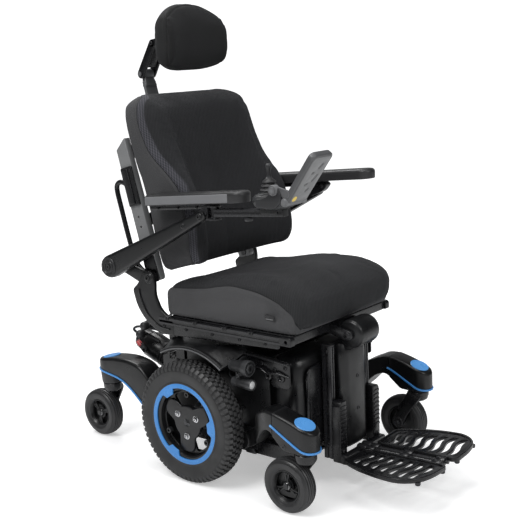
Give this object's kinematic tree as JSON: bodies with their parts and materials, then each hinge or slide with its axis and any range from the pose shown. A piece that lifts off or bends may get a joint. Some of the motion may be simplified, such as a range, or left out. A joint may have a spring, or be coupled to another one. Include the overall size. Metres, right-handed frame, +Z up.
{
  "type": "power wheelchair",
  "caption": "Powered chair with sprung caster arms, tilting seat, reclining winged back, flip-up arms, joystick with display, headrest and a centre legrest with folding footplates.",
  "frame": {"origin": "on the floor, at the middle of the footprint, 52.5 mm in front of the drive wheels' axle", "axes": "+Z up, the chair faces -Y, its user's right side is -X"},
  "size_m": [0.646, 1.255, 1.341],
  "materials": {
    "frame_black": "satin black powder coat",
    "shroud_black": "fine-grained black moulding",
    "casting": "as-cast grey",
    "tyre_rubber": "dark grey rubber",
    "wheel_black": "satin black",
    "blue_trim": "light blue satin plastic",
    "seat_fabric": "charcoal spacer mesh and knit",
    "arm_pad": "grey moulded foam skin",
    "grey_metal": "satin grey",
    "dark_plastic": "dark moulding",
    "red_plastic": "red moulding",
    "steel": "bare steel",
    "battery_case": "battery case"
  },
  "bodies": {
    "base": {"chassis_frame": "frame_black", "front_shroud": "shroud_black", "body_shroud": "shroud_black", "battery_right": "battery_case", "battery_left": "battery_case", "gearmotor_right": "casting", "gearmotor_left": "casting", "control_module": "dark_plastic", "headlamp_right": "dark_plastic", "headlamp_left": "dark_plastic"},
    "seat": {"seat_frame": "frame_black", "seat_cushion": "seat_fabric"},
    "back": {"back_frame": "grey_metal", "back_shell": "frame_black", "back_cushion": "seat_fabric"},
    "arm_right": {"arm_tube_right": "frame_black", "arm_pad_right": "arm_pad"},
    "arm_left": {"arm_tube_left": "frame_black", "arm_pad_left": "arm_pad"},
    "legrest": {"legrest_column": "shroud_black"},
    "legrest_carrier": {"legrest_slider": "frame_black"},
    "footplate_right": {"footplate_right": "frame_black"},
    "footplate_left": {"footplate_left": "frame_black"},
    "headrest_post": {"headrest_post": "frame_black"},
    "headrest_link": {"headrest_link": "frame_black"},
    "headrest_pad": {"headrest_pad": "seat_fabric"},
    "joystick": {"joystick_mount": "frame_black", "joystick_pod": "dark_plastic"},
    "joystick_display": {"joystick_display": "dark_plastic"},
    "joystick_gimbal": {"joystick_gimbal": "steel"},
    "joystick_stick": {"joystick_stick": "arm_pad"},
    "power_button": {"power_button": "arm_pad"},
    "horn_button": {"horn_button": "arm_pad"},
    "tilt_tube": {"tilt_tube": "frame_black"},
    "tilt_rod": {"tilt_rod": "steel"},
    "drive_wheel_right": {"drive_tyre_right": "tyre_rubber", "drive_rim_right": "wheel_black", "drive_ring_right": "blue_trim"},
    "front_arm_right": {"front_arm_right": "shroud_black"},
    "front_fork_right": {"front_fork_right": "frame_black"},
    "front_wheel_right": {"front_hub_right": "wheel_black", "front_tyre_right": "tyre_rubber"},
    "rear_arm_right": {"rear_arm_right": "shroud_black"},
    "rear_fork_right": {"rear_fork_right": "frame_black"},
    "rear_wheel_right": {"rear_hub_right": "wheel_black", "rear_tyre_right": "tyre_rubber"},
    "release_lever_right": {"release_lever_right": "red_plastic"},
    "drive_wheel_left": {"drive_tyre_left": "tyre_rubber", "drive_rim_left": "wheel_black", "drive_ring_left": "blue_trim"},
    "front_arm_left": {"front_arm_left": "shroud_black"},
    "front_fork_left": {"front_fork_left": "frame_black"},
    "front_wheel_left": {"front_hub_left": "wheel_black", "front_tyre_left": "tyre_rubber"},
    "rear_arm_left": {"rear_arm_left": "shroud_black"},
    "rear_fork_left": {"rear_fork_left": "frame_black"},
    "rear_wheel_left": {"rear_hub_left": "wheel_black", "rear_tyre_left": "tyre_rubber"},
    "release_lever_left": {"release_lever_left": "red_plastic"}
  },
  "joints": [
    {"name": "seat_tilt", "type": "hinge", "parent": "base", "child": "seat", "pos_m": [0, 0.16252, 0.395], "axis": [-1, 0, 0], "range_deg": [0, 50]},
    {"name": "back_recline", "type": "hinge", "parent": "seat", "child": "back", "pos_m": [0, 0.23252, 0.568], "axis": [-1, 0, 0], "range_deg": [0, 40]},
    {"name": "legrest_elevate", "type": "hinge", "parent": "seat", "child": "legrest", "pos_m": [0, -0.33948, 0.432], "axis": [-1, 0, 0], "range_deg": [0, 70]},
    {"name": "arm_lift_right", "type": "hinge", "parent": "seat", "child": "arm_right", "pos_m": [0, 0.35252, 0.598], "axis": [-1, 0, 0], "range_deg": [0, 80]},
    {"name": "arm_lift_left", "type": "hinge", "parent": "seat", "child": "arm_left", "pos_m": [0, 0.35252, 0.598], "axis": [-1, 0, 0], "range_deg": [0, 80]},
    {"name": "footplate_fold_right", "type": "hinge", "parent": "legrest_carrier", "child": "footplate_right", "pos_m": [-0.012, -0.34248, 0.092], "axis": [0, 0.9994, -0.0339], "range_deg": [0, 80]},
    {"name": "footplate_fold_left", "type": "hinge", "parent": "legrest_carrier", "child": "footplate_left", "pos_m": [0.012, -0.34248, 0.092], "axis": [0, -0.9994, 0.0339], "range_deg": [0, 80]},
    {"name": "legrest_length", "type": "slide", "parent": "legrest", "child": "legrest_carrier", "axis": [0, 0, 1], "range_m": [0, 0.1]},
    {"name": "headrest_height", "type": "slide", "parent": "back", "child": "headrest_post", "axis": [0, 0.2554, 0.9668], "range_m": [0, 0.1]},
    {"name": "headrest_reach", "type": "hinge", "parent": "headrest_post", "child": "headrest_link", "pos_m": [0, 0.42559, 1.14999], "axis": [-1, 0, 0], "range_deg": [-8, 25]},
    {"name": "headrest_tilt", "type": "hinge", "parent": "headrest_link", "child": "headrest_pad", "pos_m": [0, 0.31452, 1.248], "axis": [-1, 0, 0], "range_deg": [-20, 20]},
    {"name": "joystick_swing", "type": "hinge", "parent": "arm_right", "child": "joystick", "pos_m": [-0.255, -0.05748, 0.783], "axis": [0, 0, -1], "range_deg": [0, 90]},
    {"name": "display_tilt", "type": "hinge", "parent": "joystick", "child": "joystick_display", "pos_m": [-0.3, -0.29748, 0.86], "axis": [-1, 0, 0], "range_deg": [0, 30]},
    {"name": "joystick_pitch", "type": "hinge", "parent": "joystick", "child": "joystick_gimbal", "pos_m": [-0.258, -0.24948, 0.835], "axis": [1, 0, 0], "range_deg": [-18, 18], "stiffness_Nm_per_rad": 0.5},
    {"name": "joystick_roll", "type": "hinge", "parent": "joystick_gimbal", "child": "joystick_stick", "pos_m": [-0.258, -0.24948, 0.835], "axis": [0, 1, 0], "range_deg": [-18, 18], "stiffness_Nm_per_rad": 0.5},
    {"name": "power_button_press", "type": "slide", "parent": "joystick", "child": "power_button", "axis": [0, 0, -1], "range_m": [0, 0.0015], "stiffness_N_per_m": 400},
    {"name": "horn_button_press", "type": "slide", "parent": "joystick", "child": "horn_button", "axis": [0, 0, -1], "range_m": [0, 0.0015], "stiffness_N_per_m": 400},
    {"name": "tilt_tube_swing", "type": "hinge", "parent": "base", "child": "tilt_tube", "pos_m": [0, 0.25252, 0.15], "axis": [-1, 0, 0], "range_deg": [0, 17.2]},
    {"name": "tilt_rod_slide", "type": "slide", "parent": "tilt_tube", "child": "tilt_rod", "axis": [0, -0.6854, 0.7282], "range_m": [0, 0.062]},
    {"name": "front_suspension_right", "type": "hinge", "parent": "base", "child": "front_arm_right", "pos_m": [-0.215, -0.09748, 0.14], "axis": [-1, 0, 0], "range_deg": [-6, 6], "stiffness_Nm_per_rad": 4000},
    {"name": "front_suspension_left", "type": "hinge", "parent": "base", "child": "front_arm_left", "pos_m": [0.215, -0.09748, 0.14], "axis": [-1, 0, 0], "range_deg": [-6, 6], "stiffness_Nm_per_rad": 4000},
    {"name": "rear_suspension_right", "type": "hinge", "parent": "base", "child": "rear_arm_right", "pos_m": [-0.173, 0.25752, 0.13], "axis": [-1, 0, 0], "range_deg": [-6, 6], "stiffness_Nm_per_rad": 4000},
    {"name": "rear_suspension_left", "type": "hinge", "parent": "base", "child": "rear_arm_left", "pos_m": [0.173, 0.25752, 0.13], "axis": [-1, 0, 0], "range_deg": [-6, 6], "stiffness_Nm_per_rad": 4000},
    {"name": "front_swivel_right", "type": "hinge", "parent": "front_arm_right", "child": "front_fork_right", "pos_m": [-0.29, -0.35848, 0.17], "axis": [0, 0, 1], "continuous": true},
    {"name": "front_swivel_left", "type": "hinge", "parent": "front_arm_left", "child": "front_fork_left", "pos_m": [0.29, -0.35848, 0.17], "axis": [0, 0, 1], "continuous": true},
    {"name": "rear_swivel_right", "type": "hinge", "parent": "rear_arm_right", "child": "rear_fork_right", "pos_m": [-0.173, 0.49752, 0.18], "axis": [0, 0, 1], "continuous": true},
    {"name": "rear_swivel_left", "type": "hinge", "parent": "rear_arm_left", "child": "rear_fork_left", "pos_m": [0.173, 0.49752, 0.18], "axis": [0, 0, 1], "continuous": true},
    {"name": "drive_spin_right", "type": "hinge", "parent": "base", "child": "drive_wheel_right", "pos_m": [-0.281, 0.05252, 0.178], "axis": [1, 0, 0], "continuous": true},
    {"name": "drive_spin_left", "type": "hinge", "parent": "base", "child": "drive_wheel_left", "pos_m": [0.281, 0.05252, 0.178], "axis": [1, 0, 0], "continuous": true},
    {"name": "front_roll_right", "type": "hinge", "parent": "front_fork_right", "child": "front_wheel_right", "pos_m": [-0.29, -0.30348, 0.076], "axis": [1, 0, 0], "continuous": true},
    {"name": "front_roll_left", "type": "hinge", "parent": "front_fork_left", "child": "front_wheel_left", "pos_m": [0.29, -0.30348, 0.076], "axis": [1, 0, 0], "continuous": true},
    {"name": "rear_roll_right", "type": "hinge", "parent": "rear_fork_right", "child": "rear_wheel_right", "pos_m": [-0.173, 0.55152, 0.076], "axis": [1, 0, 0], "continuous": true},
    {"name": "rear_roll_left", "type": "hinge", "parent": "rear_fork_left", "child": "rear_wheel_left", "pos_m": [0.173, 0.55152, 0.076], "axis": [1, 0, 0], "continuous": true},
    {"name": "release_lever_turn_right", "type": "hinge", "parent": "base", "child": "release_lever_right", "pos_m": [-0.131, 0.38252, 0.3], "axis": [-1, 0, 0], "range_deg": [0, 30]},
    {"name": "release_lever_turn_left", "type": "hinge", "parent": "base", "child": "release_lever_left", "pos_m": [0.131, 0.38252, 0.3], "axis": [-1, 0, 0], "range_deg": [0, 30]}
  ],
  "couplings": [
    {"joint": "tilt_tube_swing", "follows": "seat_tilt", "ratio": 0.34},
    {"joint": "tilt_rod_slide", "follows": "seat_tilt", "m_per_rad": 0.07}
  ]
}
